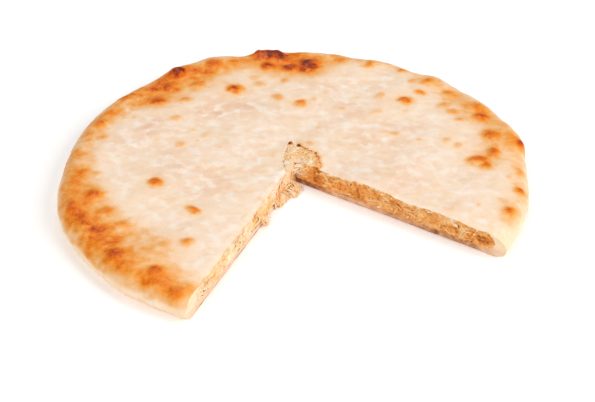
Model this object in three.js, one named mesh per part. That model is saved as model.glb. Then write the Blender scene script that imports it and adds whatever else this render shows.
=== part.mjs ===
// Ossetian pie: a round, flat filled bread, baked whole, with one wedge cut out and taken away.
// The dough is one piece that wraps right round a flat disc of filling: a firm bottom crust, a
// solid rim and a thin top crust with a torn steam vent in the middle. Both layers of crust and
// the filling between them show on the two cut faces.
// Millimetres, +Z up. The pie lies on its flat underside at z = 0.
import * as THREE from "three";
import { mergeVertices } from "three/addons/utils/BufferGeometryUtils.js";

// ---- driving dimensions ----
const PIE_RADIUS = 164; // mean radius at the widest of the rim
const HEIGHT = 17.5; // top of the pie, away from the rim
const BOTTOM_CRUST = 4.4; // thickness of the dough under the filling
const TOP_CRUST = 2.0; // thickness of the dough over the filling
const RIM_WIDTH = 15; // solid dough outside the filling, away from the right-hand cut
const RIM_WAIST = 7.4; // height of the rim's widest line
const RIM_UNDERCUT = 8; // how far in the underside starts to turn up
const CAVITY_NOSE = 8; // length of the rounded outer end of the filling
const RIM_SHOULDER = 13; // how far in the rounded shoulder reaches the top
const VENT_RADIUS = 18; // torn steam vent in the top crust
const GAP = 0.35; // clearance between dough and filling
const ROOF_GAP = 0.6; // clearance between the filling and the top crust, which waves
const FILLING_BULGE = 1.2; // how far the filling is pressed out of a cut face
const VENT_DROP = 0.9; // filling in the vent, below the top of the crust

// ---- the cut: the wedge between these two directions is missing ----
const CUT_RIGHT = -33.5; // degrees, direction of the right-hand cut
const CUT_LEFT = 246.7; // degrees, direction of the left-hand cut, going round the back
const STATIONS = 84; // sections swept from one cut face to the other

// ---- the uneven outline: where the rim stands out or draws in ----
const RIM_LOBES = [
  { at: 13, spread: 4.5, out: 4.0 },
  { at: 30, spread: 12, out: 3.5 },
  { at: 48, spread: 3, out: 2.0 },
  { at: 53, spread: 3, out: -2.5 },
  { at: 60, spread: 3, out: 2.0 },
  { at: 72, spread: 3, out: -1.5 },
  { at: 81, spread: 5, out: 1.5 },
  { at: 98, spread: 5, out: 1.5 },
  { at: 105, spread: 3, out: -4.5 },
  { at: 113, spread: 9, out: 5.5 },
  { at: 124, spread: 5, out: 1.5 },
  { at: 178, spread: 10, out: -2.0 },
  { at: 204, spread: 12, out: 2.5 },
  { at: 228, spread: 5, out: 1.9 },
  { at: 243, spread: 8, out: 1.8 },
  { at: -6, spread: 8, out: -2.0 },
  { at: -24, spread: 4, out: -1.5 },
  { at: -31, spread: 4, out: -1.5 },
];

// ---- where the filling reaches further out, so that the rim is narrower ----
const NARROW_RIM = { at: CUT_RIGHT, spread: 28, out: -7 };

// ---- how the steam vent's edge was torn: further back, and less far to the left ----
const VENT_LOBES = [
  { at: 96, spread: 9, out: 9.5 },
  { at: 176, spread: 46, out: -10.5 },
  { at: -30, spread: 12, out: 2 },
];

// ---- air bubbles under the top crust that lift whole patches of it ----
const BUBBLES = [
  { at: 99, radius: 153, spread: 8, rise: 2.2 },
  { at: 86, radius: 149, spread: 11, rise: 1.6 },
  { at: 114, radius: 154, spread: 9, rise: 3.0 },
  { at: 126, radius: 155, spread: 8, rise: 2.4 },
  { at: 67, radius: 156, spread: 7, rise: 1.6 },
  { at: 46, radius: 155, spread: 7, rise: 1.6 },
  { at: 12, radius: 152, spread: 12, rise: 1.6 },
  { at: 196, radius: 146, spread: 14, rise: 1.4 },
  { at: 228, radius: 142, spread: 16, rise: 1.2 },
  { at: -27, radius: 57, spread: 15, rise: 1.6 },
];

// ---- slow waves of the top crust ----
const WAVE_HEIGHT = 0.7;
const WAVE_LENGTH = 74;

const rad = THREE.MathUtils.degToRad;
const turn = (a, b) => THREE.MathUtils.euclideanModulo(a - b + 180, 360) - 180;
const bell = (distance, spread) => Math.exp(-(distance ** 2) / (2 * spread ** 2));

/** A length with lobes added to it in a direction given in degrees. */
function lobed(length, lobes, deg) {
  return lobes.reduce((sum, lobe) => sum + lobe.out * bell(turn(deg, lobe.at), lobe.spread), length);
}

const rimRadius = (deg) => lobed(PIE_RADIUS, RIM_LOBES, deg); // the rim's widest line
const ventRadius = (deg) => lobed(VENT_RADIUS, VENT_LOBES, deg); // torn edge of the steam vent
const noseRadius = (deg) => rimRadius(deg) - lobed(RIM_WIDTH, [NARROW_RIM], deg) - CAVITY_NOSE;

/** Height of the top crust at a plan position. */
function topHeight(r, deg) {
  const x = r * Math.cos(rad(deg));
  const y = r * Math.sin(rad(deg));
  const k = (2 * Math.PI) / WAVE_LENGTH;
  let z = HEIGHT + WAVE_HEIGHT * Math.sin(k * x + 0.6) * Math.cos(k * 0.8 * y - 0.4);
  for (const bubble of BUBBLES) {
    const bx = bubble.radius * Math.cos(rad(bubble.at));
    const by = bubble.radius * Math.sin(rad(bubble.at));
    z += bubble.rise * bell(Math.hypot(x - bx, y - by), bubble.spread);
  }
  return z;
}

/** Even steps from a to b, both included. */
function steps(a, b, count) {
  return Array.from({ length: count + 1 }, (_, i) => a + ((b - a) * i) / count);
}

/** Arc of an ellipse about a centre, as [r, z] points after the first, between two angles in degrees. */
function arc([cr, cz], wide, high, from, to, count) {
  const points = steps(from, to, count).map((t) => [cr + wide * Math.cos(rad(t)), cz + high * Math.sin(rad(t))]);
  return points.slice(1);
}

/** Radii where the underside of the top crust is sampled, from the cavity's nose to the vent. */
function roofRadii(deg) {
  return steps(noseRadius(deg), ventRadius(deg), 7);
}

/**
 * Radial section of the dough as two [r, z] paths from the axis to the edge of the vent: the
 * skin under, round and over the pie, and the wall of the cavity that the filling lies in.
 */
function doughSection(deg) {
  const edge = rimRadius(deg);
  const vent = ventRadius(deg);
  const turnUp = edge - RIM_UNDERCUT;
  const shoulder = edge - RIM_SHOULDER;
  const shoulderRise = topHeight(shoulder, deg) - RIM_WAIST;
  const [nose] = roofRadii(deg);
  const roof = (r) => topHeight(r, deg) - TOP_CRUST;
  const middle = (BOTTOM_CRUST + roof(nose)) / 2;
  const skin = [
    ...steps(0, turnUp, 3).map((r) => [r, 0]),
    ...arc([turnUp, RIM_WAIST], RIM_UNDERCUT, RIM_WAIST, -90, 0, 5),
    ...arc([shoulder, RIM_WAIST], RIM_SHOULDER, shoulderRise, 0, 90, 7),
    ...steps(shoulder, vent, 9).slice(1).map((r) => [r, topHeight(r, deg)]),
  ];
  const cavity = [
    ...steps(0, nose, 2).map((r) => [r, BOTTOM_CRUST]),
    ...arc([nose, middle], CAVITY_NOSE, middle - BOTTOM_CRUST, -90, 90, 4),
    ...roofRadii(deg).slice(1).map((r) => [r, roof(r)]),
  ];
  return [skin, cavity];
}

/** Radial section of the filling as two paths from the axis to its outer end, floor and top. */
function fillingSection(deg) {
  const radii = roofRadii(deg);
  const nose = radii.shift() - GAP;
  const vent = radii.pop() - GAP;
  const floor = BOTTOM_CRUST + GAP;
  const roof = (r) => topHeight(r, deg) - TOP_CRUST - ROOF_GAP;
  const inVent = (r) => topHeight(r, deg) - VENT_DROP;
  const middle = (floor + roof(nose)) / 2;
  const under = [
    ...steps(0, nose, 2).map((r) => [r, floor]),
    ...arc([nose, middle], CAVITY_NOSE, middle - floor, -90, 0, 2),
  ];
  const over = [
    ...steps(0, vent - GAP, 2).map((r) => [r, inVent(r)]),
    ...[vent, ...radii.reverse(), nose].map((r) => [r, roof(r)]),
    ...arc([nose, middle], CAVITY_NOSE, middle - floor, 90, 0, 2).slice(0, -1),
  ];
  return [under, over];
}

/** Triangles of the band between two paths of points, numbered from the start of each. */
function ladder(left, right) {
  const triangles = [];
  const gap = (i, j) => Math.hypot(left[i][0] - right[j][0], left[i][1] - right[j][1]);
  let [i, j] = [0, 0];
  while (i < left.length - 1 || j < right.length - 1) {
    const onLeft = j === right.length - 1 || (i < left.length - 1 && gap(i + 1, j) < gap(i, j + 1));
    triangles.push(onLeft ? [["L", i], ["L", i + 1], ["R", j]] : [["L", i], ["R", j + 1], ["R", j]]);
    if (onLeft) i += 1;
    else j += 1;
  }
  return triangles;
}

/**
 * Closed solid swept round the pie's axis, from the right-hand cut face to the left-hand one.
 * bulge pushes the two end faces out of the cut, by less and less towards the axis.
 */
function sweep(sectionAt, bulge) {
  const positions = [];
  const index = [];
  const [left, right] = sectionAt(CUT_RIGHT);
  const count = left.length + right.length;
  const number = { L: (i) => i, R: (j) => count - 1 - j };
  steps(CUT_RIGHT, CUT_LEFT, STATIONS).forEach((deg, i) => {
    const [skin, inner] = sectionAt(deg);
    const side = i === 0 ? -1 : i === STATIONS ? 1 : 0;
    for (const [r, z] of [...skin, ...inner.reverse()]) {
      const a = rad(deg) + (side * bulge) / (r + 4 * bulge + 1);
      positions.push(r * Math.cos(a), r * Math.sin(a), z);
    }
  });
  for (let i = 0; i < STATIONS; i++) {
    for (let k = 0; k < count; k++) {
      const a = i * count + k;
      const b = i * count + ((k + 1) % count);
      index.push(a, b + count, b, a, a + count, b + count);
    }
  }
  const face = ladder(left, right).map((corners) => corners.map(([path, i]) => number[path](i)));
  for (const [a, b, c] of face) {
    index.push(a, b, c);
    index.push(...[a, c, b].map((v) => v + STATIONS * count));
  }
  return closed(positions, index);
}

/** Geometry from positions and triangles, with shared vertices merged and empty triangles dropped. */
function closed(positions, index) {
  const merged = mergeVertices(
    new THREE.BufferGeometry()
      .setAttribute("position", new THREE.Float32BufferAttribute(positions, 3))
      .setIndex(index),
    1e-4,
  );
  const v = merged.index.array;
  const kept = [];
  for (let i = 0; i < v.length; i += 3) {
    if (v[i] !== v[i + 1] && v[i + 1] !== v[i + 2] && v[i + 2] !== v[i]) kept.push(v[i], v[i + 1], v[i + 2]);
  }
  merged.setIndex(kept);
  return merged;
}

/** A named mesh with its own baked-food material. */
function piece(name, geometry, color, roughness) {
  geometry.computeVertexNormals();
  const mesh = new THREE.Mesh(geometry, new THREE.MeshStandardMaterial({ color, roughness, metalness: 0 }));
  mesh.name = name;
  return mesh;
}

const dough = piece("dough", sweep(doughSection, 0), 0xf0dcbc, 0.55);
const filling = piece("filling", sweep(fillingSection, FILLING_BULGE), 0xd9a865, 0.6);

// ---- the frame: origin under the middle of the pie's bounding box ----
const pie = new THREE.Group();
pie.add(dough, filling);
const box = new THREE.Box3().setFromObject(pie);
pie.position.set(-(box.min.x + box.max.x) / 2, -(box.min.y + box.max.y) / 2, 0);

const part = new THREE.Group();
part.add(pie);
export default part;
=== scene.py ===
"""An Ossetian pie with one wedge cut out: baked dough wrapped round a shredded filling.

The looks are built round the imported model, which gives the pie's place and size. The dough is one
mesh with its rim, blisters, torn steam vent and cut faces; the filling is a rough core with cabbage
shreds, cheese lumps and herb flecks on it. Lengths are millimetres about the pie's axis until a
mesh is placed, and metres in the model's frame from then on.
"""
from __future__ import annotations

import itertools
import logging
from dataclasses import dataclass, field
from enum import Enum

import bmesh
import bpy
import numpy as np
from mathutils import Matrix, Vector

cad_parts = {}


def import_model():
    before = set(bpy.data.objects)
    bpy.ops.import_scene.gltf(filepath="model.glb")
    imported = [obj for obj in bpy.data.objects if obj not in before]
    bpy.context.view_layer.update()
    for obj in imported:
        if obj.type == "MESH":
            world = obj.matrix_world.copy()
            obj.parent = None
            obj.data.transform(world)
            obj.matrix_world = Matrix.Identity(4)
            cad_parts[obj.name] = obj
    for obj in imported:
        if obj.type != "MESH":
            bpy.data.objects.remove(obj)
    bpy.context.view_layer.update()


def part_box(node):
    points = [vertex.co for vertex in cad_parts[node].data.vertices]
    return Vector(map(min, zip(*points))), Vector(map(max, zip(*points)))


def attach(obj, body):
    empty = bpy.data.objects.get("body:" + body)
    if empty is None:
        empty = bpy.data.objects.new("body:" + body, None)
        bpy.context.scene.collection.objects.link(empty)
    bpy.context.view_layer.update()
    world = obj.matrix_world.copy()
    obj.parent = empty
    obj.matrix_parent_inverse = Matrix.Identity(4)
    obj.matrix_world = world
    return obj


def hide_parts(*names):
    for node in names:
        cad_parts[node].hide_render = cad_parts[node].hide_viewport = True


LOG = logging.getLogger("ossetian_pie")
MM = 0.001  # metres in a millimetre
BODY = "root"
UP = np.array([0.0, 0.0, 1.0])
WELD_M = 1e-6  # points closer than this are one point
FLAT_M = 1e-7  # edges shorter than this are taken out
SHARP_DEGREES = 55  # edges that turn by more than this stay sharp


# ---------------------------------------------------------------- helpers


def linear(code: str) -> tuple[float, float, float, float]:
    """Linear colour of an sRGB hex value.

    Args:
        code: the colour as six hex digits after a hash.

    Returns:
        Red, green, blue and an alpha of one.
    """
    parts = [int(code[i : i + 2], 16) / 255 for i in (1, 3, 5)]
    curved = [c / 12.92 if c <= 0.04045 else ((c + 0.055) / 1.055) ** 2.4 for c in parts]
    return (*curved, 1.0)


def bell(distance: np.ndarray, spread: float) -> np.ndarray:
    """Bell curve of a distance, one at the middle."""
    return np.exp(-(distance**2) / (2 * spread**2))


def turn(deg: np.ndarray, other: float) -> np.ndarray:
    """Angle from one direction to another, in degrees from -180 to 180."""
    return (deg - other + 180) % 360 - 180


def smooth(low: float, high: float, value: np.ndarray) -> np.ndarray:
    """Soft step from zero at low to one at high."""
    t = np.clip((value - low) / (high - low), 0, 1)
    return t * t * (3 - 2 * t)


def runs(*stretches: tuple[float, float, int]) -> np.ndarray:
    """Evenly spaced values over stretches that follow each other, none of them twice.

    Args:
        stretches: first value, last value and number of values of each.

    Returns:
        All values in one row.
    """
    parts = [np.linspace(*stretch) for stretch in stretches]
    return np.concatenate([parts[0], *(part[1:] for part in parts[1:])])


def add_node(
    tree: bpy.types.NodeTree, kind: str, inputs: dict | None = None, stops: tuple = (), **settings
) -> bpy.types.Node:
    """Adds one shader node with its settings and links.

    Args:
        tree: the node tree that gets the node.
        kind: Blender's name of the node's type.
        inputs: values or output sockets, by the name or number of the input they go to.
        stops: places and hex colours of a colour ramp.
        settings: the node's own properties.

    Returns:
        The new node.
    """
    node = tree.nodes.new(kind)
    for name, value in settings.items():
        setattr(node, name, value)
    for name, value in (inputs or {}).items():
        if isinstance(value, bpy.types.NodeSocket):
            tree.links.new(value, node.inputs[name])
        else:
            node.inputs[name].default_value = value
    if stops:
        points = node.color_ramp.elements
        points.remove(points[-1])
        points[0].position = stops[0][0]
        points[0].color = linear(stops[0][1])
        for place, code in stops[1:]:
            points.new(place).color = linear(code)
    return node


@dataclass(frozen=True)
class Grain:
    """Smooth seeded noise in space, for relief that has no repeat."""

    seed: int

    def at(self, points: np.ndarray, size: float, octaves: int = 1) -> np.ndarray:
        """Noise at each point.

        Args:
            points: places in millimetres, one row each.
            size: width of one swell in millimetres.
            octaves: how many layers, each half as wide and half as strong as the last.

        Returns:
            Values of about -1 to 1.
        """
        rng = np.random.default_rng(self.seed)
        order = rng.permutation(256)
        slopes = rng.normal(size=(256, 3))
        slopes /= np.linalg.norm(slopes, axis=1, keepdims=True)
        total = np.zeros(len(points))
        for octave in range(octaves):
            place = points * (2**octave / size) + rng.uniform(0, 50, 3)
            cell = np.floor(place).astype(int)
            inner = place - cell
            fade = inner**3 * (inner * (inner * 6 - 15) + 10)
            for corner in itertools.product((0, 1), repeat=3):
                step = np.array(corner)
                x, y, z = ((cell + step) & 255).T
                slope = slopes[order[(order[(order[x] + y) & 255] + z) & 255]]
                weight = np.where(step, fade, 1 - fade).prod(axis=1)
                total += weight * ((inner - step) * slope).sum(axis=1) * 1.7 / 2**octave
        return total


# ---------------------------------------------------------------- the pie's form


@dataclass(frozen=True)
class Swell:
    """A stretch of the rim that stands out, or draws in."""

    at: float  # degrees
    spread: float  # degrees
    out: float  # millimetres


@dataclass(frozen=True)
class Bubble:
    """An air bubble that lifts a whole patch of the top crust."""

    at: float  # degrees
    radius: float
    spread: float
    rise: float


@dataclass(frozen=True)
class PieForm:
    """The pie's main form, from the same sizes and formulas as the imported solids."""

    pie_radius: float = 164.0  # mean radius at the widest of the rim
    height: float = 17.5  # top of the pie, away from the rim
    bottom_crust: float = 4.4
    top_crust: float = 2.0
    rim_width: float = 15.0  # solid dough outside the filling
    narrow_rim: tuple[Swell, ...] = (Swell(-33.5, 28, -7.0),)  # narrower at the right-hand cut
    rim_waist: float = 7.4  # height of the rim's widest line
    rim_undercut: float = 8.0  # how far in the underside turns up
    rim_shoulder: float = 13.0  # how far in the rounded shoulder reaches the top
    cavity_nose: float = 8.0  # rounded outer end of the filling
    vent: float = 18.0  # mean radius of the torn steam vent
    vent_lobes: tuple[Swell, ...] = (Swell(96, 9, 9.5), Swell(176, 46, -10.5), Swell(-30, 12, 2.0))
    cut_right: float = -33.5  # degrees, direction of the right-hand cut
    cut_left: float = 246.7  # degrees, direction of the left-hand cut, round the back
    stations: int = 84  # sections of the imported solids
    wave_height: float = 0.7
    wave_length: float = 74.0
    swells: tuple[Swell, ...] = (
        Swell(13, 4.5, 4.0),
        Swell(30, 12, 3.5),
        Swell(48, 3, 2.0),
        Swell(53, 3, -2.5),
        Swell(60, 3, 2.0),
        Swell(72, 3, -1.5),
        Swell(81, 5, 1.5),
        Swell(98, 5, 1.5),
        Swell(105, 3, -4.5),
        Swell(113, 9, 5.5),
        Swell(124, 5, 1.5),
        Swell(178, 10, -2.0),
        Swell(204, 12, 2.5),
        Swell(228, 5, 1.9),
        Swell(243, 8, 1.8),
        Swell(-6, 8, -2.0),
        Swell(-24, 4, -1.5),
        Swell(-31, 4, -1.5),
    )
    bubbles: tuple[Bubble, ...] = (
        Bubble(99, 153, 8, 2.2),
        Bubble(86, 149, 11, 1.6),
        Bubble(114, 154, 9, 3.0),
        Bubble(126, 155, 8, 2.4),
        Bubble(67, 156, 7, 1.6),
        Bubble(46, 155, 7, 1.6),
        Bubble(12, 152, 12, 1.6),
        Bubble(196, 146, 14, 1.4),
        Bubble(228, 142, 16, 1.2),
        Bubble(-27, 57, 15, 1.6),
    )

    @staticmethod
    def lobed(length: float, swells: tuple[Swell, ...], deg: np.ndarray) -> np.ndarray:
        """A length with swells added to it in each direction."""
        return length + sum(s.out * bell(turn(deg, s.at), s.spread) for s in swells)

    def rim_radius(self, deg: np.ndarray) -> np.ndarray:
        """Radius of the rim's widest line in each direction."""
        return self.lobed(self.pie_radius, self.swells, deg)

    def nose_radius(self, deg: np.ndarray) -> np.ndarray:
        """Radius where the filling's rounded outer end begins."""
        return self.rim_radius(deg) - self.lobed(self.rim_width, self.narrow_rim, deg) - self.cavity_nose

    def vent_radius(self, deg: np.ndarray) -> np.ndarray:
        """Radius of the steam vent in each direction."""
        return self.lobed(self.vent, self.vent_lobes, deg)

    def top_height(self, r: np.ndarray, deg: np.ndarray) -> np.ndarray:
        """Height of the top crust, with its slow waves and bubbles.

        Args:
            r: radii in millimetres.
            deg: directions in degrees.

        Returns:
            Heights in millimetres.
        """
        x = r * np.cos(np.radians(deg))
        y = r * np.sin(np.radians(deg))
        k = 2 * np.pi / self.wave_length
        z = self.height + self.wave_height * np.sin(k * x + 0.6) * np.cos(k * 0.8 * y - 0.4)
        for b in self.bubbles:
            bx = b.radius * np.cos(np.radians(b.at))
            by = b.radius * np.sin(np.radians(b.at))
            z = z + b.rise * bell(np.hypot(x - bx, y - by), b.spread)
        return z

    def axis_place(self) -> Vector:
        """Place of the pie's axis in the model's frame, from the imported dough's box.

        Returns:
            The place in metres, at the pie's underside.
        """
        deg = np.linspace(self.cut_right, self.cut_left, self.stations + 1)
        r = self.rim_radius(deg)
        across = r * np.cos(np.radians(deg))
        along = r * np.sin(np.radians(deg))
        low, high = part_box("dough")
        return Vector((high.x - across.max() * MM, high.y - along.max() * MM, low.z))


@dataclass(frozen=True)
class Blister:
    """One raised, browned blister of the top crust."""

    at: float  # degrees
    radius: float
    size: float  # half its width along the rim
    brown: float  # colour in the middle, 0 pale to 1 nearly burnt
    stretch: float = 1.0  # radial length over the width
    puff: float = 1.0  # height over that of most blisters


@dataclass(frozen=True)
class Zone:
    """A patch of crust that is browned, or that the filling shows through."""

    at: float  # degrees
    spread: float  # degrees
    radius: float
    width: float
    amount: float


@dataclass(frozen=True)
class Bake:
    """Where the oven browned the top crust, and where the crust is thin enough to see through."""

    blisters: tuple[Blister, ...] = (
        # round the back
        Blister(115.3, 108.5, 7.0, 0.84, 1.05),
        Blister(142.3, 131.5, 7.4, 0.72, 1.15),
        Blister(133, 141, 7.0, 0.50),
        Blister(127.3, 152, 9.5, 0.92, 0.9),
        Blister(125.5, 128, 6.5, 0.44),
        Blister(122.5, 147, 7.0, 0.28),
        Blister(119, 138, 5.5, 0.24),
        Blister(115, 150.5, 7.5, 0.42),
        Blister(108.5, 147.5, 5.0, 0.18),
        Blister(97.8, 151.5, 10.5, 1.0, 0.9, 0.45),
        Blister(101.0, 154.5, 4.6, 0.80, 1.2, 1.7),
        Blister(95.2, 154.0, 5.0, 0.70, 1.2, 1.4),
        Blister(99.3, 135.5, 6.2, 0.90),
        Blister(93.5, 144, 6.0, 0.44),
        Blister(92, 131, 9.0, 0.86, 0.75),
        Blister(85.8, 135.5, 9.8, 1.0, 1.1),
        Blister(84.8, 130.5, 6.0, 0.74, 1.0, 0.3),
        Blister(87, 77.5, 5.4, 0.56),
        Blister(75.6, 149.5, 4.5, 0.44),
        Blister(66.7, 147.5, 4.2, 0.44, 1.5),
        Blister(61.5, 155, 3.0, 0.10, 1.0, 4.0),
        Blister(56.7, 153, 4.0, 0.44, 1.0, 1.4),
        Blister(46.8, 148.5, 4.5, 0.42, 1.5),
        Blister(44.5, 116, 6.2, 0.68),
        Blister(44.5, 132.5, 4.8, 0.42, 0.7),
        Blister(38.2, 148.5, 6.5, 0.38),
        Blister(34, 133, 4.5, 0.32, 1.6),
        Blister(29, 133.5, 4.5, 0.34),
        Blister(23.7, 131.5, 4.5, 0.29),
        Blister(104.7, 110, 5.5, 0.24),
        Blister(94.5, 112.5, 3.5, 0.38),
        Blister(99, 87.5, 5.0, 0.34, 1.5),
        Blister(134.7, 117, 5.5, 0.36),
        Blister(147.5, 103.5, 5.5, 0.28),
        Blister(152.7, 72, 6.0, 0.19, 0.8),
        Blister(165.5, 84, 6.0, 0.25),
        # the right
        Blister(27.8, 153, 9.5, 0.40),
        Blister(22.8, 148, 6.4, 0.86),
        Blister(12.6, 144.3, 7.6, 0.69, 1.0, 0.6),
        Blister(8.2, 162.5, 7.0, 0.76, 0.7),
        Blister(4.0, 140, 6.6, 0.70, 0.85),
        Blister(0.6, 127.5, 6.8, 0.64, 1.2),
        Blister(-2.6, 132.5, 5.0, 0.52),
        Blister(-4.4, 156, 4.8, 0.32),
        Blister(-13, 156.0, 4.3, 0.62),
        Blister(-23.0, 153, 4.6, 0.84, 0.9),
        Blister(-27, 155, 4.5, 0.12, 1.5),
        Blister(-30, 117.5, 4.0, 0.14, 1.5),
        Blister(-18, 100, 5.0, 0.13),
        Blister(46.8, 90, 5.5, 0.17, 1.3),
        Blister(54, 110, 5.0, 0.25, 1.4),
        Blister(26, 80.5, 4.5, 0.22),
        Blister(29.5, 74, 4.0, 0.16),
        Blister(17, 92.5, 4.0, 0.18),
        Blister(13.9, 111.5, 4.0, 0.22),
        Blister(9.8, 117.5, 4.5, 0.23),
        Blister(63.4, 77.5, 4.5, 0.20),
        # the left
        Blister(161, 150, 7.0, 0.50, 0.7),
        Blister(168, 141, 4.5, 0.24),
        Blister(186, 146, 5.0, 0.52),
        Blister(195.9, 98.5, 6.7, 0.70, 0.8),
        Blister(197.5, 141, 7.5, 0.56),
        Blister(206, 138, 6.0, 0.42),
        Blister(214, 134, 6.0, 0.30),
        Blister(221.4, 89, 6.5, 0.62, 0.6),
        Blister(234, 116, 5.0, 0.46),
        Blister(201, 157, 9.0, 0.66, 0.7),
        Blister(223.5, 156, 8.0, 0.56),
        Blister(235.4, 150, 7.5, 0.50, 0.8),
        Blister(243.6, 159.5, 6.5, 0.52),
    )
    zones: tuple[Zone, ...] = (
        Zone(143, 9, 149, 11, 0.44),
        Zone(130, 8, 144, 12, 0.40),
        Zone(117, 8, 147, 10, 0.34),
        Zone(104, 5, 150, 7, 0.20),
        Zone(97, 6, 154, 8, 0.40),
        Zone(88, 8, 145, 9, 0.34),
        Zone(68, 9, 155, 6, 0.18),
        Zone(46, 7, 154, 6, 0.18),
        Zone(38, 6, 148, 7, 0.10),
        Zone(27, 8, 153, 8, 0.14),
        Zone(12, 7, 159, 7, 0.24),
        Zone(-4, 10, 156, 6, 0.10),
        Zone(-20, 8, 156, 6, 0.10),
        Zone(163, 9, 154, 9, 0.30),
        Zone(181, 9, 153, 9, 0.28),
        Zone(203, 13, 150, 10, 0.40),
        Zone(220, 9, 149, 10, 0.38),
        Zone(238, 8, 151, 9, 0.26),
        Zone(235, 3.5, 158, 5, 0.26),
        Zone(214, 12, 160, 5, 0.32),
        Zone(245, 5, 157, 6, 0.20),
        Zone(226, 9, 128, 9, 0.18),
        # by the steam vent
        Zone(71, 14, 24, 4, 0.24),
        Zone(150, 16, 17, 4, 0.20),
    )
    thin: tuple[Zone, ...] = (
        Zone(127, 8, 90, 12, 1.0),
        Zone(115, 6, 80, 9, 0.8),
        Zone(157, 7, 112, 10, 0.8),
        Zone(77, 5, 102, 9, 0.6),
        Zone(58, 7, 76, 9, 0.6),
        Zone(28, 12, 58, 10, 0.7),
        Zone(184, 8, 84, 10, 0.6),
        Zone(-12, 12, 70, 12, 0.5),
        Zone(211, 9, 70, 9, 0.5),
    )
    freckles: int = 70  # pale golden spots too small to place one by one
    freckle_reach: float = 160.0
    freckle_turns: tuple[float, float] = (-33, 246)  # degrees
    freckle_size: tuple[float, float] = (1.5, 4.2)  # half width, away from the rim
    freckle_brown: tuple[float, float] = (0.04, 0.16)  # the same, as blisters are browned
    freckle_stretch: tuple[float, float] = (0.7, 1.4)
    seed: int = 11

    def spots(self) -> list[Blister]:
        """The blisters, with the freckles scattered between them.

        Returns:
            All of them in one list.
        """
        rng = np.random.default_rng(self.seed)
        made = list(self.blisters)
        for _ in range(self.freckles):
            radius = self.freckle_reach * np.sqrt(rng.uniform(0.04, 1))
            near_rim = smooth(110, 155, np.float64(radius))
            size = rng.uniform(*self.freckle_size) * (1 + 0.3 * near_rim)
            brown = rng.uniform(*self.freckle_brown) + 0.2 * near_rim * rng.uniform()
            at = rng.uniform(*self.freckle_turns)
            made.append(Blister(at, radius, size, brown, rng.uniform(*self.freckle_stretch)))
        return made

    def rise(self, x: np.ndarray, y: np.ndarray) -> tuple[np.ndarray, np.ndarray]:
        """Height and browning of the blisters.

        Args:
            x: places across the pie.
            y: places along the pie.

        Returns:
            Millimetres of rise, and browning from 0 to 1.
        """
        flat = np.stack([x, y, np.zeros_like(x)], axis=-1).reshape(-1, 3)
        ragged = (Grain(5).at(flat, 6.5, 3) * 0.26).reshape(x.shape)
        rise = np.zeros_like(x)
        left = np.ones_like(x)
        for spot in self.spots():
            a = np.radians(spot.at)
            dx = x - spot.radius * np.cos(a)
            dy = y - spot.radius * np.sin(a)
            out = (dx * np.cos(a) + dy * np.sin(a)) / (spot.size * spot.stretch)
            along = (dy * np.cos(a) - dx * np.sin(a)) / spot.size
            far = np.hypot(out, along)
            height = min(0.36 * spot.size, 3.0) * (0.1 + 0.9 * spot.brown) * spot.puff
            rise += (np.clip(1 - far**2, 0, 1) ** 1.4 * height) ** 3
            worn = np.maximum(far + ragged, 0)
            core = spot.brown * np.exp(-((worn / 0.8) ** 2.4))
            halo = 0.24 * spot.brown * bell(worn, 1.5)
            left *= (1 - core) * (1 - halo)
        return np.cbrt(rise), 1 - left

    @staticmethod
    def spread(zones: tuple[Zone, ...], r: np.ndarray, deg: np.ndarray) -> np.ndarray:
        """Lays zones over each other.

        Args:
            zones: the zones.
            r: radii in millimetres.
            deg: directions in degrees.

        Returns:
            How strong they are at each place, 0 to 1.
        """
        left = np.ones_like(r)
        for z in zones:
            left *= 1 - z.amount * bell(turn(deg, z.at), z.spread) * bell(r - z.radius, z.width)
        return 1 - left


# ---------------------------------------------------------------- meshes


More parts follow.
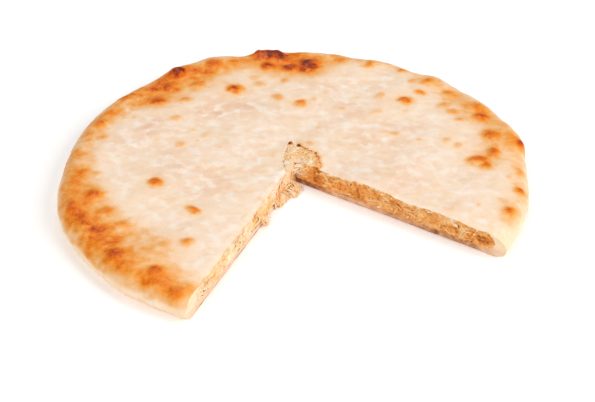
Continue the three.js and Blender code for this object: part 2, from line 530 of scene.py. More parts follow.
@dataclass
class MeshWork:
    """Points and faces of one piece while it is made."""

    points: list[np.ndarray] = field(default_factory=list)
    faces: list[np.ndarray] = field(default_factory=list)
    finish: list[np.ndarray] = field(default_factory=list)
    traits: dict[str, list[np.ndarray]] = field(default_factory=dict)
    count: int = 0

    def add_points(self, points: np.ndarray, **traits: np.ndarray) -> np.ndarray:
        """Adds points of any array shape.

        Args:
            points: places, with x, y and z on the last axis.
            traits: one number a point, by name, such as its browning.

        Returns:
            The points' numbers, in the same array shape.
        """
        shape = points.shape[:-1]
        size = int(np.prod(shape))
        self.points.append(points.reshape(-1, 3))
        for name, value in traits.items():
            self.traits.setdefault(name, []).append(np.broadcast_to(value, shape).reshape(-1))
        numbers = np.arange(self.count, self.count + size).reshape(shape)
        self.count += size
        return numbers

    def add_faces(self, corners: np.ndarray, finish: int = 0) -> None:
        """Adds faces with three or four corners each, all of one finish."""
        self.faces.append(corners)
        self.finish.append(np.full(len(corners), finish))

    def add_grid(self, numbers: np.ndarray, finish: int = 0, flip: bool = False) -> None:
        """Adds the four-cornered faces of a grid of points.

        Args:
            numbers: the points' numbers, in rows and columns.
            finish: which of the piece's finishes the faces have.
            flip: turns the faces over.
        """
        a, b = numbers[:-1, :-1], numbers[1:, :-1]
        c, d = numbers[1:, 1:], numbers[:-1, 1:]
        corners = np.stack([a, b, c, d], axis=-1).reshape(-1, 4)
        self.add_faces(corners[:, ::-1] if flip else corners, finish)

    def add_ladder(self, left: np.ndarray, right: np.ndarray, finish: int = 0, flip: bool = False) -> None:
        """Adds the triangles of a band between two lines of points.

        Args:
            left: numbers of the points along one side.
            right: numbers of the points along the other side, in the same direction.
            finish: which of the piece's finishes the faces have.
            flip: turns the faces over.
        """
        places = np.concatenate(self.points)
        a, b = places[left], places[right]
        corners = []
        i = j = 0
        while i < len(left) - 1 or j < len(right) - 1:
            last_left = i == len(left) - 1
            last_right = j == len(right) - 1
            step_left = last_right or (
                not last_left and np.linalg.norm(a[i + 1] - b[j]) < np.linalg.norm(a[i] - b[j + 1])
            )
            if step_left:
                corners.append((left[i], left[i + 1], right[j]))
                i += 1
            else:
                corners.append((left[i], right[j + 1], right[j]))
                j += 1
        made = np.array(corners)
        self.add_faces(made[:, ::-1] if flip else made, finish)

    def to_object(
        self, name: str, materials: list[bpy.types.Material], axis: Vector, sharp: bool = False
    ) -> bpy.types.Object:
        """Makes the piece, with points that lie in one place joined.

        Args:
            name: the piece's name.
            materials: its finishes, in the order that the faces number them.
            axis: place of the pie's axis, in metres.
            sharp: whether edges that turn by more than SHARP_DEGREES stay sharp.

        Returns:
            The new object, in the scene.
        """
        mesh = bpy.data.meshes.new(name)
        places = np.concatenate(self.points) * MM + np.array(axis)
        mesh.from_pydata(places.tolist(), [], [f for part in self.faces for f in part.tolist()])
        mesh.polygons.foreach_set("material_index", np.concatenate(self.finish).astype(np.int32))
        mesh.polygons.foreach_set("use_smooth", np.ones(len(mesh.polygons), bool))
        for trait, values in self.traits.items():
            layer = mesh.attributes.new(trait, "FLOAT", "POINT")
            layer.data.foreach_set("value", np.concatenate(values).astype(np.float32))
        for material in materials:
            mesh.materials.append(material)
        work = bmesh.new()
        work.from_mesh(mesh)
        bmesh.ops.remove_doubles(work, verts=work.verts, dist=WELD_M)
        bmesh.ops.dissolve_degenerate(work, edges=work.edges, dist=FLAT_M)
        bmesh.ops.recalc_face_normals(work, faces=work.faces)
        work.to_mesh(mesh)
        work.free()
        if sharp:
            mesh.set_sharp_from_angle(angle=np.radians(SHARP_DEGREES))
        piece = bpy.data.objects.new(name, mesh)
        bpy.context.scene.collection.objects.link(piece)
        return piece


def about(r: np.ndarray, deg: np.ndarray, z: np.ndarray) -> np.ndarray:
    """Points from their radius, direction in degrees and height."""
    a = np.radians(deg)
    return np.stack(np.broadcast_arrays(r * np.cos(a), r * np.sin(a), z), axis=-1)


def noise_at(grain: Grain, points: np.ndarray, size: float, octaves: int = 1) -> np.ndarray:
    """Noise over an array of points of any shape."""
    return grain.at(points.reshape(-1, 3), size, octaves).reshape(points.shape[:-1])


class Finish(Enum):
    """The dough's finishes, in the order of its material slots."""

    CRUST = 0
    CRUMB = 1
    UNDERSIDE = 2


@dataclass(frozen=True)
class Dough:
    """The dough: bottom crust, rim and thin top crust, all one piece, with its two cut faces."""

    form: PieForm
    bake: Bake
    columns: int = 520  # sections round the pie
    cut_steps: tuple[float, ...] = (0.25, 0.7, 1.3)  # extra sections this far from a cut, mm
    rows_through: int = 6  # points from the skin to the cavity at a cut or the vent
    rows_under: int = 9  # points from the axis to the rim under the pie
    torn: float = 1.5  # how ragged the vent's edge is
    flaps: tuple[Swell, ...] = (
        Swell(100, 5, 2.0),
        Swell(90.5, 3.2, -7.0),
        Swell(82, 4, 3.0),
        Swell(52, 3, -2.5),
        Swell(20, 4, -2.0),
    )
    toasted_lip: tuple[Swell, ...] = (Swell(5, 26, 0.26), Swell(70, 12, 0.12))
    wobble: float = 0.55  # how far the knife strays
    pressed: float = 0.8  # how far the knife pressed the top down beside a cut
    soaked_and_shaded: tuple[float, float] = (0.62, 0.08)  # juice in the bottom crust, at the right and left cut; the right cut's extra brown is partly painted shade
    juice_from_rim: tuple[float, float] = (4.0, 24.0)  # where the juice begins and is full, mm
    curl: float = 0.5  # how far the vent's torn edge curls up
    uncurled: Swell = Swell(185, 45, 0.6)  # where it lies flat instead
    torn_edge: float = 1.5  # width of the toasted line along the vent
    low_side_brown_and_shade: float = 0.14  # browning of the rim's lower side, partly real toasting and partly painted shade

    def directions(self) -> np.ndarray:
        """Directions of the sections, closer together next to the cuts.

        Returns:
            Degrees, from the right-hand cut round the back to the left-hand one.
        """
        f = self.form
        near = np.degrees(np.array(self.cut_steps) / f.pie_radius)
        even = np.linspace(f.cut_right, f.cut_left, self.columns)
        return np.unique(np.concatenate([even, f.cut_right + near, f.cut_left - near]))

    def vent_edge(self, deg: np.ndarray) -> np.ndarray:
        """Radius of the vent's torn edge.

        Args:
            deg: directions in degrees.

        Returns:
            Radii in millimetres.
        """
        ring = about(np.full_like(deg, 30.0), deg, np.zeros_like(deg))
        ragged = self.torn * noise_at(Grain(21), ring, 9.0, 3)
        return self.form.lobed(self.form.vent_radius(deg) + ragged, self.flaps, deg)

    def knife_press(self, r: np.ndarray, deg: np.ndarray) -> np.ndarray:
        """How far the knife pressed the top down, which dies away within a few millimetres.

        Args:
            r: radii in millimetres.
            deg: directions in degrees.

        Returns:
            Millimetres that the top lies lower.
        """
        f = self.form
        along = np.stack([r, np.zeros_like(r), np.zeros_like(r)], axis=-1)
        total = np.zeros_like(r)
        for cut, side, seed in ((f.cut_right, 1, 33), (f.cut_left, -1, 34)):
            away = np.radians(side * (deg - cut)) * r
            uneven = 1 + 0.8 * noise_at(Grain(seed), along, 19.0, 3)
            total += self.pressed * uneven * smooth(3.5, 0.0, away) * smooth(3.0, 15.0, r)
        return np.clip(total, 0, 1.4)

    def relief(self, r: np.ndarray, deg: np.ndarray, z: np.ndarray) -> np.ndarray:
        """Swells, lumps, creases and blisters of the skin.

        Args:
            r: radii in millimetres.
            deg: directions in degrees.
            z: heights in millimetres.

        Returns:
            Millimetres out of the smooth form.
        """
        f = self.form
        p = about(r, deg, z)
        edge = f.rim_radius(deg)
        inside = 1 - smooth(edge - 26, edge - 12, r)
        rise, _ = self.bake.rise(p[..., 0], p[..., 1])
        on_top = smooth(f.rim_waist, f.height - 2, z)
        broad = 0.40 * noise_at(Grain(1), p, 27.0, 2)
        lumps = 0.20 * noise_at(Grain(2), p, 9.5, 2)
        crease = 0.26 * (0.35 - np.abs(noise_at(Grain(3), p * np.array([1, 1.5, 1]), 16.0, 2)))
        rim = 0.55 * noise_at(Grain(4), p, 17.0, 2)
        return on_top * (rise + inside * (broad + lumps + crease)) + (1 - inside) * rim

    def surface(self, deg: np.ndarray, u: np.ndarray, through: np.ndarray) -> np.ndarray:
        """Places on and in the dough.

        Args:
            deg: directions in degrees.
            u: place along a section, 0 to 1 under the pie, to 2 round the rim, to 3 over it.
            through: 0 on the skin, 1 on the wall of the cavity that holds the filling.

        Returns:
            Places in millimetres, with x, y and z on the last axis.
        """
        f = self.form
        deg, u, through = np.broadcast_arrays(deg, u, through)
        edge = f.rim_radius(deg)
        vent = self.vent_edge(deg)
        nose = f.nose_radius(deg)
        shoulder = edge - f.rim_shoulder
        under = np.clip(u, 0, 1)
        over = np.clip(u - 2, 0, 1)
        round_rim = np.clip(u - 1, 0, 1)

        low = np.radians(90 * np.clip(round_rim / 0.4, 0, 1))
        high = np.radians(90 * np.clip((round_rim - 0.4) / 0.6, 0, 1))
        shoulder_top = f.top_height(shoulder, deg)
        low_r = edge - f.rim_undercut * (1 - np.sin(low))
        low_z = f.rim_waist * (1 - np.cos(low))
        high_r = edge - f.rim_shoulder * (1 - np.cos(high))
        high_z = f.rim_waist + (shoulder_top - f.rim_waist) * np.sin(high)
        top_r = shoulder + (vent - shoulder) * over
        parts = [u <= 1, u <= 1.4, u <= 2]
        skin_r = np.select(parts, [(edge - f.rim_undercut) * under, low_r, high_r], top_r)
        skin_z = np.select(parts, [0 * u, low_z, high_z], f.top_height(top_r, deg))

        slope = np.select(parts, [0 * u - np.pi / 2, low - np.pi / 2, high], np.pi / 2)
        lift = self.relief(skin_r, deg, skin_z) * smooth(0.3, 2.5, skin_z)
        lift = lift - self.knife_press(skin_r, deg) * smooth(f.rim_waist, f.height - 3, skin_z)
        lip = smooth(6.0, 0.0, skin_r - vent) * (u > 2)
        flat = self.uncurled
        curl = self.curl - flat.out * bell(turn(deg, flat.at), flat.spread)
        skin_r = skin_r + lift * np.cos(slope)
        skin_z = skin_z + lift * np.sin(slope) + curl * lip

        roof = f.top_height(nose, deg) - f.top_crust
        middle = (f.bottom_crust + roof) / 2
        nose_a = np.radians(-90 + 180 * round_rim)
        uneven = 0.35 * noise_at(Grain(7), about(top_r, deg, 0 * top_r), 6.0, 2)
        roof_r = nose + (vent - nose) * over
        hollow = np.minimum(lift, 0.3) + 1.4 * lip - uneven
        roof_z = f.top_height(roof_r, deg) - f.top_crust + np.where(u > 2, hollow, 0)
        roof_z = roof + (roof_z - roof) * smooth(0, 0.03, over)
        wall_r = np.select([u <= 1, u <= 2], [nose * under, nose + f.cavity_nose * np.cos(nose_a)], roof_r)
        wall_z = np.select(
            [u <= 1, u <= 2],
            [0 * u + f.bottom_crust, middle + (middle - f.bottom_crust) * np.sin(nose_a)],
            roof_z,
        )
        r = skin_r + (wall_r - skin_r) * through
        z = skin_z + (wall_z - skin_z) * through
        r = r - 0.45 * np.sin(np.pi * through) * smooth(2.985, 3.0, u)
        return about(r, self.strayed(r, deg, z), z)

    def strayed(self, r: np.ndarray, deg: np.ndarray, z: np.ndarray) -> np.ndarray:
        """Directions after the knife strayed from a straight cut.

        Args:
            r: radii in millimetres.
            deg: directions in degrees, as for a straight cut.
            z: heights in millimetres.

        Returns:
            Directions in degrees.
        """
        f = self.form
        moved = deg
        for cut, side in ((f.cut_right, 1), (f.cut_left, -1)):
            away = np.radians(side * (deg - cut)) * r
            path = np.stack([r, 3.0 * z, np.full_like(r, cut)], axis=-1)
            drift = self.wobble * noise_at(Grain(31), path, 24.0, 3) * smooth(5.0, 0.0, away)
            moved = moved + side * np.degrees(drift / (r + 12.0)) * smooth(2.0, 20.0, r)
        return moved

    def traits(self, points: np.ndarray) -> dict[str, np.ndarray]:
        """What the crust's finish needs to know at each point of the skin.

        Args:
            points: places in millimetres, with x, y and z on the last axis.

        Returns:
            Browning, thinness and nearness to the rim, each 0 to 1, by name.
        """
        f = self.form
        x, y, z = np.moveaxis(points, -1, 0)
        r = np.hypot(x, y)
        deg = np.degrees(np.arctan2(y, x))
        edge = f.rim_radius(deg)
        _, spots = self.bake.rise(x, y)
        ragged = 1 + 0.5 * noise_at(Grain(8), points, 15.0, 2) + 0.4 * noise_at(Grain(10), points, 5.5, 3)
        zones = self.bake.spread(self.bake.zones, r, deg) * np.clip(ragged, 0.1, 2)
        on_top = smooth(6.5, 11.5, z + 1.6 * noise_at(Grain(9), points, 14.0, 2))
        lip = bell(r - self.vent_edge(deg), self.torn_edge) * f.lobed(0.06, self.toasted_lip, deg)
        browning = 1 - (1 - spots) * (1 - np.clip(zones, 0, 0.9)) * (1 - lip)
        thinness = self.bake.spread(self.bake.thin, r, deg)
        return {
            # the rim's lower side gets a little brown, partly real toasting and partly painted shade
            "browning": np.clip(np.maximum(browning * on_top, self.low_side_brown_and_shade * smooth(9.0, 4.0, z)), 0, 1),
            "thinness": thinness * on_top,
            "rimward": smooth(26.0, 6.0, edge - r),
        }

    def build(self, materials: list[bpy.types.Material], axis: Vector) -> bpy.types.Object:
        """Makes the dough.

        Args:
            materials: the finishes, in the order of Finish.
            axis: place of the pie's axis, in metres.

        Returns:
            The dough as one closed mesh.
        """
        f = self.form
        deg = self.directions()[:, None]
        work = MeshWork()
        skin_u = runs((0, 1, self.rows_under), (1, 1.4, 8), (1.4, 2, 14), (2, 3, 98))
        wall_u = runs((0, 1, 5), (1, 2, 7), (2, 3, 12))
        through = np.linspace(0, 1, self.rows_through)

        places = self.surface(deg, skin_u[None], np.zeros((1, 1)))
        skin = work.add_points(places, **self.traits(places))
        split = self.rows_under - 1
        work.add_grid(skin[:, : split + 1], Finish.UNDERSIDE.value)
        work.add_grid(skin[:, split:], Finish.CRUST.value)
        blank = {"browning": 0.0, "thinness": 0.0, "rimward": 0.0}
        wall = work.add_points(self.surface(deg, wall_u[None], np.ones((1, 1))), **blank)
        work.add_grid(wall, Finish.CRUMB.value, flip=True)
        places = self.surface(deg, np.full((1, 1), 3.0), through[None])
        lip = work.add_points(places, **self.traits(places))
        work.add_grid(lip, Finish.CRUST.value)
        ends = ((f.cut_right, -1, 0), (f.cut_left, 1, -1))
        for (cut, side, end), soaked_and_shaded in zip(ends, self.soaked_and_shaded):
            self.add_cut(work, cut, side, skin[end], wall[end], through, soaked_and_shaded)
        return work.to_object("pie_dough", materials, axis, sharp=True)

    def add_cut(
        self,
        work: MeshWork,
        cut: float,
        side: int,
        skin: np.ndarray,
        wall: np.ndarray,
        through: np.ndarray,
        soaked_and_shaded: float,
    ) -> None:
        """Adds the finely porous cut face at one end.

        Args:
            work: the mesh so far.
            cut: the cut's direction in degrees.
            side: 1 where the open side lies towards larger angles, or -1.
            skin: numbers of the skin's points along the cut.
            wall: numbers of the cavity's points along the cut.
            through: places of the rows, from the skin to the cavity.
            soaked_and_shaded: how brown juice and painted shade turned the bottom crust's crumb, 0 to 1.
        """
        u = runs((0, 1, 190), (1, 2, 46), (2, 3, 150))
        places = self.surface(np.full((1, 1), cut), u[:, None], through[None])
        inner = np.sin(np.pi * through)[None] * smooth(0, 0.03, u[:, None]) * smooth(3.0, 2.98, u[:, None])
        pores = noise_at(Grain(12), places * np.array([1, 1, 1.9]), 2.1, 2)
        rough = noise_at(Grain(13), places, 5.0, 2)
        out = inner * (0.28 * rough - 0.6 * smooth(0.28, 0.62, pores))
        a = np.radians(cut)
        places = places + out[..., None] * side * np.array([-np.sin(a), np.cos(a), 0])
        r = np.hypot(places[..., 0], places[..., 1])
        from_rim = self.form.rim_radius(np.array(cut)) - r
        # the last term darkens the crumb by the wedge's tip: painted shade for the deep corner
        taken_up = 0.7 + 0.4 * smooth(30, 110, r) + 0.8 * smooth(40, 10, r)
        juice = soaked_and_shaded * taken_up * smooth(*self.juice_from_rim, from_rim)
        face = work.add_points(places, browning=juice, thinness=0.0, rimward=0.0)
        crumb = Finish.CRUMB.value
        work.add_grid(face, crumb, flip=side > 0)
        work.add_ladder(skin, face[:, 0], crumb, flip=side > 0)
        work.add_ladder(face[:, -1], wall, crumb, flip=side > 0)


@dataclass(frozen=True)
class CutFace:
    """The plane of one cut, with places along it, out of it and up it."""

    deg: float
    side: int  # 1 where the open side lies towards larger angles, or -1
    tone: float  # how brown the filling is there, 0 to 1
    coarse: float  # how rough the knife left it, 1 at the right-hand cut

    def across(self) -> tuple[np.ndarray, np.ndarray]:
        """Unit vectors along the cut, away from the axis, and out of it."""
        a = np.radians(self.deg)
        return np.array([np.cos(a), np.sin(a), 0]), self.side * np.array([-np.sin(a), np.cos(a), 0])

    def place(self, along: np.ndarray, out: np.ndarray, up: np.ndarray) -> np.ndarray:
        """Points from their place along the cut, out of it and up."""
        run, normal = self.across()
        return along[..., None] * run + out[..., None] * normal + up[..., None] * UP


@dataclass(frozen=True)
class ToneSpot:
    """A spot where the filling dried out and browned, or where it is paler."""

    place: tuple[float, float, float]
    spread: float
    tone: float


@dataclass(frozen=True)
class Filling:
    """The pressed mass of the filling, rough where it shows at the cuts and in the vent."""

    form: PieForm
    dough: Dough
    columns: int = 170
    tuck: float = 0.45  # reach into the dough, so that no gap shows between them
    bulge: float = 0.35  # pressed out of the cuts
    vent_heap: Swell = Swell(190, 45, 0.6)  # where it stands over the crust, at the left of the vent
    top_tone: float = 0.18  # how brown it is, 0 to 1
    floor_tone: float = 0.4
    holes: tuple[tuple[float, float, float], ...] = ((-4.4, 24.4, 2.6), (2.8, 20.6, 2.0))  # x, y, half width
    faces: tuple[CutFace, ...] = (
        CutFace(PieForm.cut_right, -1, 0.52, 1.0),
        CutFace(PieForm.cut_left, 1, 0.24, 0.5),
    )
    scorched: tuple[ToneSpot, ...] = (
        ToneSpot((4.6, -3.0, 15.5), 5.0, -0.24),
        # paler spot low in the wedge's corner: painted light that lifts the corner's shade
        ToneSpot((4.3, -2.9, 8.0), 4.0, -0.24),
        ToneSpot((13.3, -8.8, 8.0), 4.5, 0.34),
        ToneSpot((30.0, -19.9, 9.0), 3.5, 0.14),
        ToneSpot((45.0, -29.8, 8.0), 3.5, 0.20),
        ToneSpot((68.0, -45.0, 13.5), 4.0, 0.20),
        ToneSpot((123.0, -81.4, 9.5), 3.6, 0.32),
    )

    def reach(self, deg: np.ndarray) -> np.ndarray:
        """Radius of the filling's outer end."""
        return self.form.nose_radius(deg) + self.form.cavity_nose

    def limits(self, r: np.ndarray, deg: np.ndarray) -> tuple[np.ndarray, np.ndarray]:
        """Lowest and highest point of the filling.

        Args:
            r: radii in millimetres.
            deg: directions in degrees.

        Returns:
            Heights of the floor and the top.
        """
        f = self.form
        r, deg = np.broadcast_arrays(r, deg)
        nose = self.reach(deg) - f.cavity_nose
        over = np.clip((r - nose) / f.cavity_nose, 0, 1)
        full = np.sqrt(1 - over**2)
        end = f.top_height(nose, deg) - f.top_crust
        middle = (f.bottom_crust + end) / 2
        roof = np.where(r > nose, middle + (end - middle) * full, f.top_height(r, deg) - f.top_crust)
        floor = middle - (middle - f.bottom_crust) * full
        p = about(r, deg, np.zeros_like(r))
        open_top = smooth(self.dough.vent_edge(deg) + 0.4, self.dough.vent_edge(deg) - 1.2, r)
        lumps = 0.7 * noise_at(Grain(41), p, 6.5, 3) - 0.9 * smooth(12, 3, r)
        heap = self.vent_heap
        lumps = lumps + heap.out * bell(turn(deg, heap.at), heap.spread) * smooth(0, 8, r)
        heaped = f.top_height(r, deg) + lumps - 6.0 * self.pitted(p)
        roof = roof + 2 * self.tuck - self.dough.knife_press(r, deg)
        return floor - self.tuck, roof + (heaped - roof) * open_top

    def pitted(self, places: np.ndarray) -> np.ndarray:
        """How deep the holes under the torn crust are at each place, 0 to 1."""
        x, y = places[..., 0], places[..., 1]
        return np.clip(sum(bell(np.hypot(x - a, y - b), w / 1.6) for a, b, w in self.holes), 0, 1)

    def toasted(self, places: np.ndarray, tone: float | np.ndarray) -> np.ndarray:
        """Tone of the filling, 0 pale to 1 brown.

        It is browner where it dried out in spots and along the right-hand side of the vent. It is darker in
        the holes under the torn crust, as painted shade, and paler low in the wedge's corner, as painted
        light.

        Args:
            places: points of the filling.
            tone: its tone away from the spots.

        Returns:
            A tone for each point.
        """
        x, y, z = np.moveaxis(places, -1, 0)
        deg = np.degrees(np.arctan2(y, x))
        # this tone shift also holds painted shade: the holes under the torn crust are darkened
        dried = 0.7 * self.pitted(places)
        for spot in self.scorched:
            away = np.linalg.norm(places - np.array(spot.place), axis=-1)
            dried = dried + spot.tone * bell(away, spot.spread)
        rim = bell(np.hypot(x, y) - self.dough.vent_edge(deg), 3.5) * bell(turn(deg, 12), 44)
        dried = dried + 0.36 * rim * smooth(self.form.height - 3.5, self.form.height - 1.5, z)
        clumps = 0.2 * noise_at(Grain(44), places, 12.0, 2) + 0.2 * noise_at(Grain(46), places, 4.2, 2)
        return np.clip(tone + dried + clumps, 0, 1)

    def bulged(self, face: CutFace, along: np.ndarray, up: np.ndarray) -> np.ndarray:
        """How far the filling stands out of a cut.

        Args:
            face: the cut.
            along: places along it in millimetres.
            up: heights in millimetres.

        Returns:
            Millimetres out of the cut.
        """
        p = face.place(along, np.zeros_like(along), up)
        lumps = 0.7 * noise_at(Grain(42), p, 4.4, 3)
        pits = 0.9 * smooth(0.25, 0.7, noise_at(Grain(43), p, 3.0, 2))
        return (self.bulge + face.coarse * (lumps - pits)) * smooth(0, 7, along)

    def build(self, materials: list[bpy.types.Material], axis: Vector) -> bpy.types.Object:
        """Makes the filling's core.

        Args:
            materials: its one finish.
            axis: place of the pie's axis, in metres.

        Returns:
            The core as one closed mesh.
        """
        f = self.form
        deg = np.linspace(f.cut_right, f.cut_left, self.columns)[:, None]
        share = np.concatenate([np.linspace(0, 0.19, 24), np.linspace(0.2, 0.9, 12), np.linspace(0.92, 1, 8)])
        r = self.reach(deg) * share[None]
        floor, top = self.limits(r, deg)
        work = MeshWork()
        places = about(r, self.dough.strayed(r, deg, top), top)
        over = work.add_points(places, tone=self.toasted(places, self.top_tone))
        keep = slice(0, None, 3)
        low_r, low_z = r[:, keep], floor[:, keep]
        turned = self.dough.strayed(low_r, deg + 0 * low_r, low_z)
        under = work.add_points(about(low_r, turned, low_z), tone=self.floor_tone)
        work.add_grid(over)
        work.add_grid(under, flip=True)
        high, low = over[1:-1, -1], under[1:-1, -1]
        work.add_faces(np.stack([high[:-1], low[:-1], low[1:], high[1:]], axis=-1))
        for face, end, beside in zip(self.faces, (0, -1), (1, -2)):
            outer = self.add_cut(work, face, over[end], under[end])
            tail = np.array([over[beside, -1], under[beside, -1]])
            work.add_ladder(np.append(outer[::-1], under[end, -1]), tail, flip=face.side > 0)
        return work.to_object("pie_filling", materials, axis, sharp=True)

    def add_cut(self, work: MeshWork, face: CutFace, over: np.ndarray, under: np.ndarray) -> np.ndarray:
        """Adds the lumpy face of the filling at one cut.

        Args:
            work: the mesh so far.
            face: the cut.
            over: numbers of the points along the top at this cut.
            under: numbers of the points along the floor.

        Returns:
            Numbers of the points up the cut's outer end.
        """
        share = np.linspace(0, 1, 260)[:, None]
        level = np.linspace(0, 1, 20)[None]
        r = self.reach(np.array(face.deg)) * share + 0 * level
        floor, top = self.limits(r, np.full_like(r, face.deg))
        smear = 0.9 + 0.9 * noise_at(Grain(45), about(r, face.deg, 0 * r), 7.0, 2)
        top = top + np.clip(smear, 0, 1.6) * smooth(0, 8, r) * smooth(1.0, 0.95, share)
        up = floor + (top - floor) * level
        turned = self.dough.strayed(r, np.full_like(r, face.deg), up)
        shape = np.sin(np.pi * level) ** 0.5 * smooth(1.0, 0.985, share)
        places = about(r, turned, up) + (self.bulged(face, r, up) * shape)[..., None] * face.across()[1]
        middle = bell(level - 0.42, 0.26)
        numbers = work.add_points(places, tone=self.toasted(places, face.tone + 0.08 * middle))
        flip = face.side > 0
        work.add_grid(numbers, flip=not flip)
        work.add_ladder(over, numbers[:, -1], flip=not flip)
        work.add_ladder(numbers[:, 0], under, flip=not flip)
        return numbers[-1]


@dataclass(frozen=True)
class Strand:
    """How one kind of shred is cut."""

    length: tuple[float, float]
    width: tuple[float, float]
    thickness: tuple[float, float]


@dataclass(frozen=True)
class Shreds:
    """Cooked cabbage shreds, as they lie in the cuts and in the steam vent."""

    filling: Filling
    cut: Strand = Strand((4.0, 13.0), (1.0, 2.2), (0.4, 0.8))
    per_cut: int = 230
    in_vent: int = 160
    at_tip: int = 22  # shreds that hang across the wedge's corner
    loose: int = 130  # shreds that fell out of the left-hand cut
    heap: tuple[float, float] = (9.0, 6.5)  # reach and height of their heap, mm
    heap_along: tuple[float, float] = (8, 36)  # where it lies along the cut, mm
    strays_along: tuple[float, float] = (50, 58)
    strays: float = 0.1  # share of the loose shreds that lie further out
    vent_tone: float = 0.23  # how brown they are, 0 to 1
    tip_tone: float = 0.26
    loose_tone: float = 0.26
    stations: int = 8
    sides: int = 6
    seed: int = 71

    def toned(self, rng: np.random.Generator, middles: np.ndarray, mean: float | np.ndarray) -> np.ndarray:
        """Tones of shreds, close to that of the filling where each one lies."""
        return np.clip(self.filling.toasted(middles, mean) + rng.normal(0, 0.06, len(middles)), 0, 1)

    def on_cut(self, rng: np.random.Generator, face: CutFace) -> dict[str, np.ndarray]:
        """Shreds in one cut.

        Args:
            rng: the random draws.
            face: the cut.

        Returns:
            Paths, the normals they lie flat against, tones, and their width over the usual width.
        """
        n = self.per_cut
        end = self.filling.reach(np.array(face.deg)) - 3
        along = rng.uniform(3, end, n)
        floor, top = self.filling.limits(along, np.full(n, face.deg))
        up = floor + (top - floor) * rng.uniform(0.08, 0.92, n)
        length = rng.uniform(*self.cut.length, n)
        crossing = rng.uniform(size=n) < 0.05
        heading = rng.normal(0, np.radians(24), n) + np.where(crossing, 1.3, 0)
        bend = rng.normal(0, 0.07, n)
        arch = face.coarse * (rng.uniform(0.05, 0.4, n) + 0.5 * crossing)
        poke = np.where(rng.uniform(size=n) < 0.08, rng.uniform(0.8, 2.2, n), 0)
        t = np.linspace(-0.5, 0.5, self.stations)[None]
        step = t * length[:, None]
        angle = heading[:, None] + bend[:, None] * step
        s = along[:, None] + step * np.cos(angle)
        z = up[:, None] + step * np.sin(angle)
        floor, top = self.filling.limits(np.clip(s, 1, end), np.full_like(s, face.deg))
        z = np.clip(z, floor + 0.9, top - 0.7)
        s = np.clip(s, 2, end + 1)
        out = -0.45 + arch[:, None] * (1 - 4 * t**2) + poke[:, None] * (t + 0.5) ** 2
        out = out + self.filling.bulged(face, s, z)
        return {
            "path": face.place(s, out, z),
            "normal": np.broadcast_to(face.across()[1], (n, 3)),
            "tone": self.toned(rng, face.place(along, 0 * along, up), face.tone - 0.15 * (poke > 0)),
            "wide": 0.6 + 0.4 * face.coarse,
        }

    def across_the_tip(self, rng: np.random.Generator) -> dict[str, np.ndarray]:
        """Shreds that hang from one cut to the other in the corner.

        Args:
            rng: the random draws.

        Returns:
            The same as on_cut.
        """
        n = self.at_tip
        right, left = self.filling.faces
        ends = []
        for face, longest in ((left, 5.0), (right, 8.0)):
            along = rng.uniform(1.5, longest, n)
            up = rng.uniform(6.5, self.filling.form.height - 1.0, n)
            ends.append(face.place(along, np.full(n, -0.3), up))
        t = np.linspace(0, 1, self.stations)[:, None]
        corner = ends[0][:, None] * (1 - t) + ends[1][:, None] * t
        sag = rng.uniform(-0.6, 0.6, n)[:, None] * np.sin(np.pi * t[:, 0])
        path = corner + sag[..., None] * UP
        return {
            "path": path,
            "normal": np.broadcast_to(right.across()[1] + left.across()[1], (n, 3)),
            "tone": self.toned(rng, path[:, self.stations // 2], self.tip_tone),
            "wide": 0.9,
        }

    def in_the_vent(self, rng: np.random.Generator) -> dict[str, np.ndarray]:
        """Shreds heaped in the steam vent.

        Args:
            rng: the random draws.

        Returns:
            The same as on_cut.
        """
        n = self.in_vent
        f = self.filling.form
        deg = rng.uniform(f.cut_right + 4, f.cut_left - 4, n)
        r = (self.filling.dough.vent_edge(deg) - 1.5) * np.sqrt(rng.uniform(0.02, 1, n))
        middle = about(r, deg, np.zeros(n))
        length = rng.uniform(3, 8, n)
        heading = rng.uniform(0, 2 * np.pi, n)
        bend = rng.normal(0, 0.09, n)
        t = np.linspace(-0.5, 0.5, self.stations)[None]
        step = t * length[:, None]
        angle = heading[:, None] + bend[:, None] * step
        x = middle[:, :1] + step * np.cos(angle)
        y = middle[:, 1:2] + step * np.sin(angle)
        away = np.hypot(x, y)
        place_deg = np.degrees(np.arctan2(y, x)) % 360
        place_deg = np.where(place_deg > 290, place_deg - 360, place_deg)
        place_deg = np.clip(place_deg, f.cut_right, f.cut_left)
        away = np.minimum(away, self.filling.dough.vent_edge(place_deg) - 0.4)
        _, top = self.filling.limits(away, place_deg)
        lift = rng.uniform(0.1, 0.5, n)[:, None] * (1 - 4 * t**2) - 0.15
        path = about(away, place_deg, top + lift)
        return {
            "path": path,
            "normal": np.broadcast_to(UP, (n, 3)),
            "tone": self.toned(rng, path[:, self.stations // 2], self.vent_tone),
            "wide": 0.85,
        }

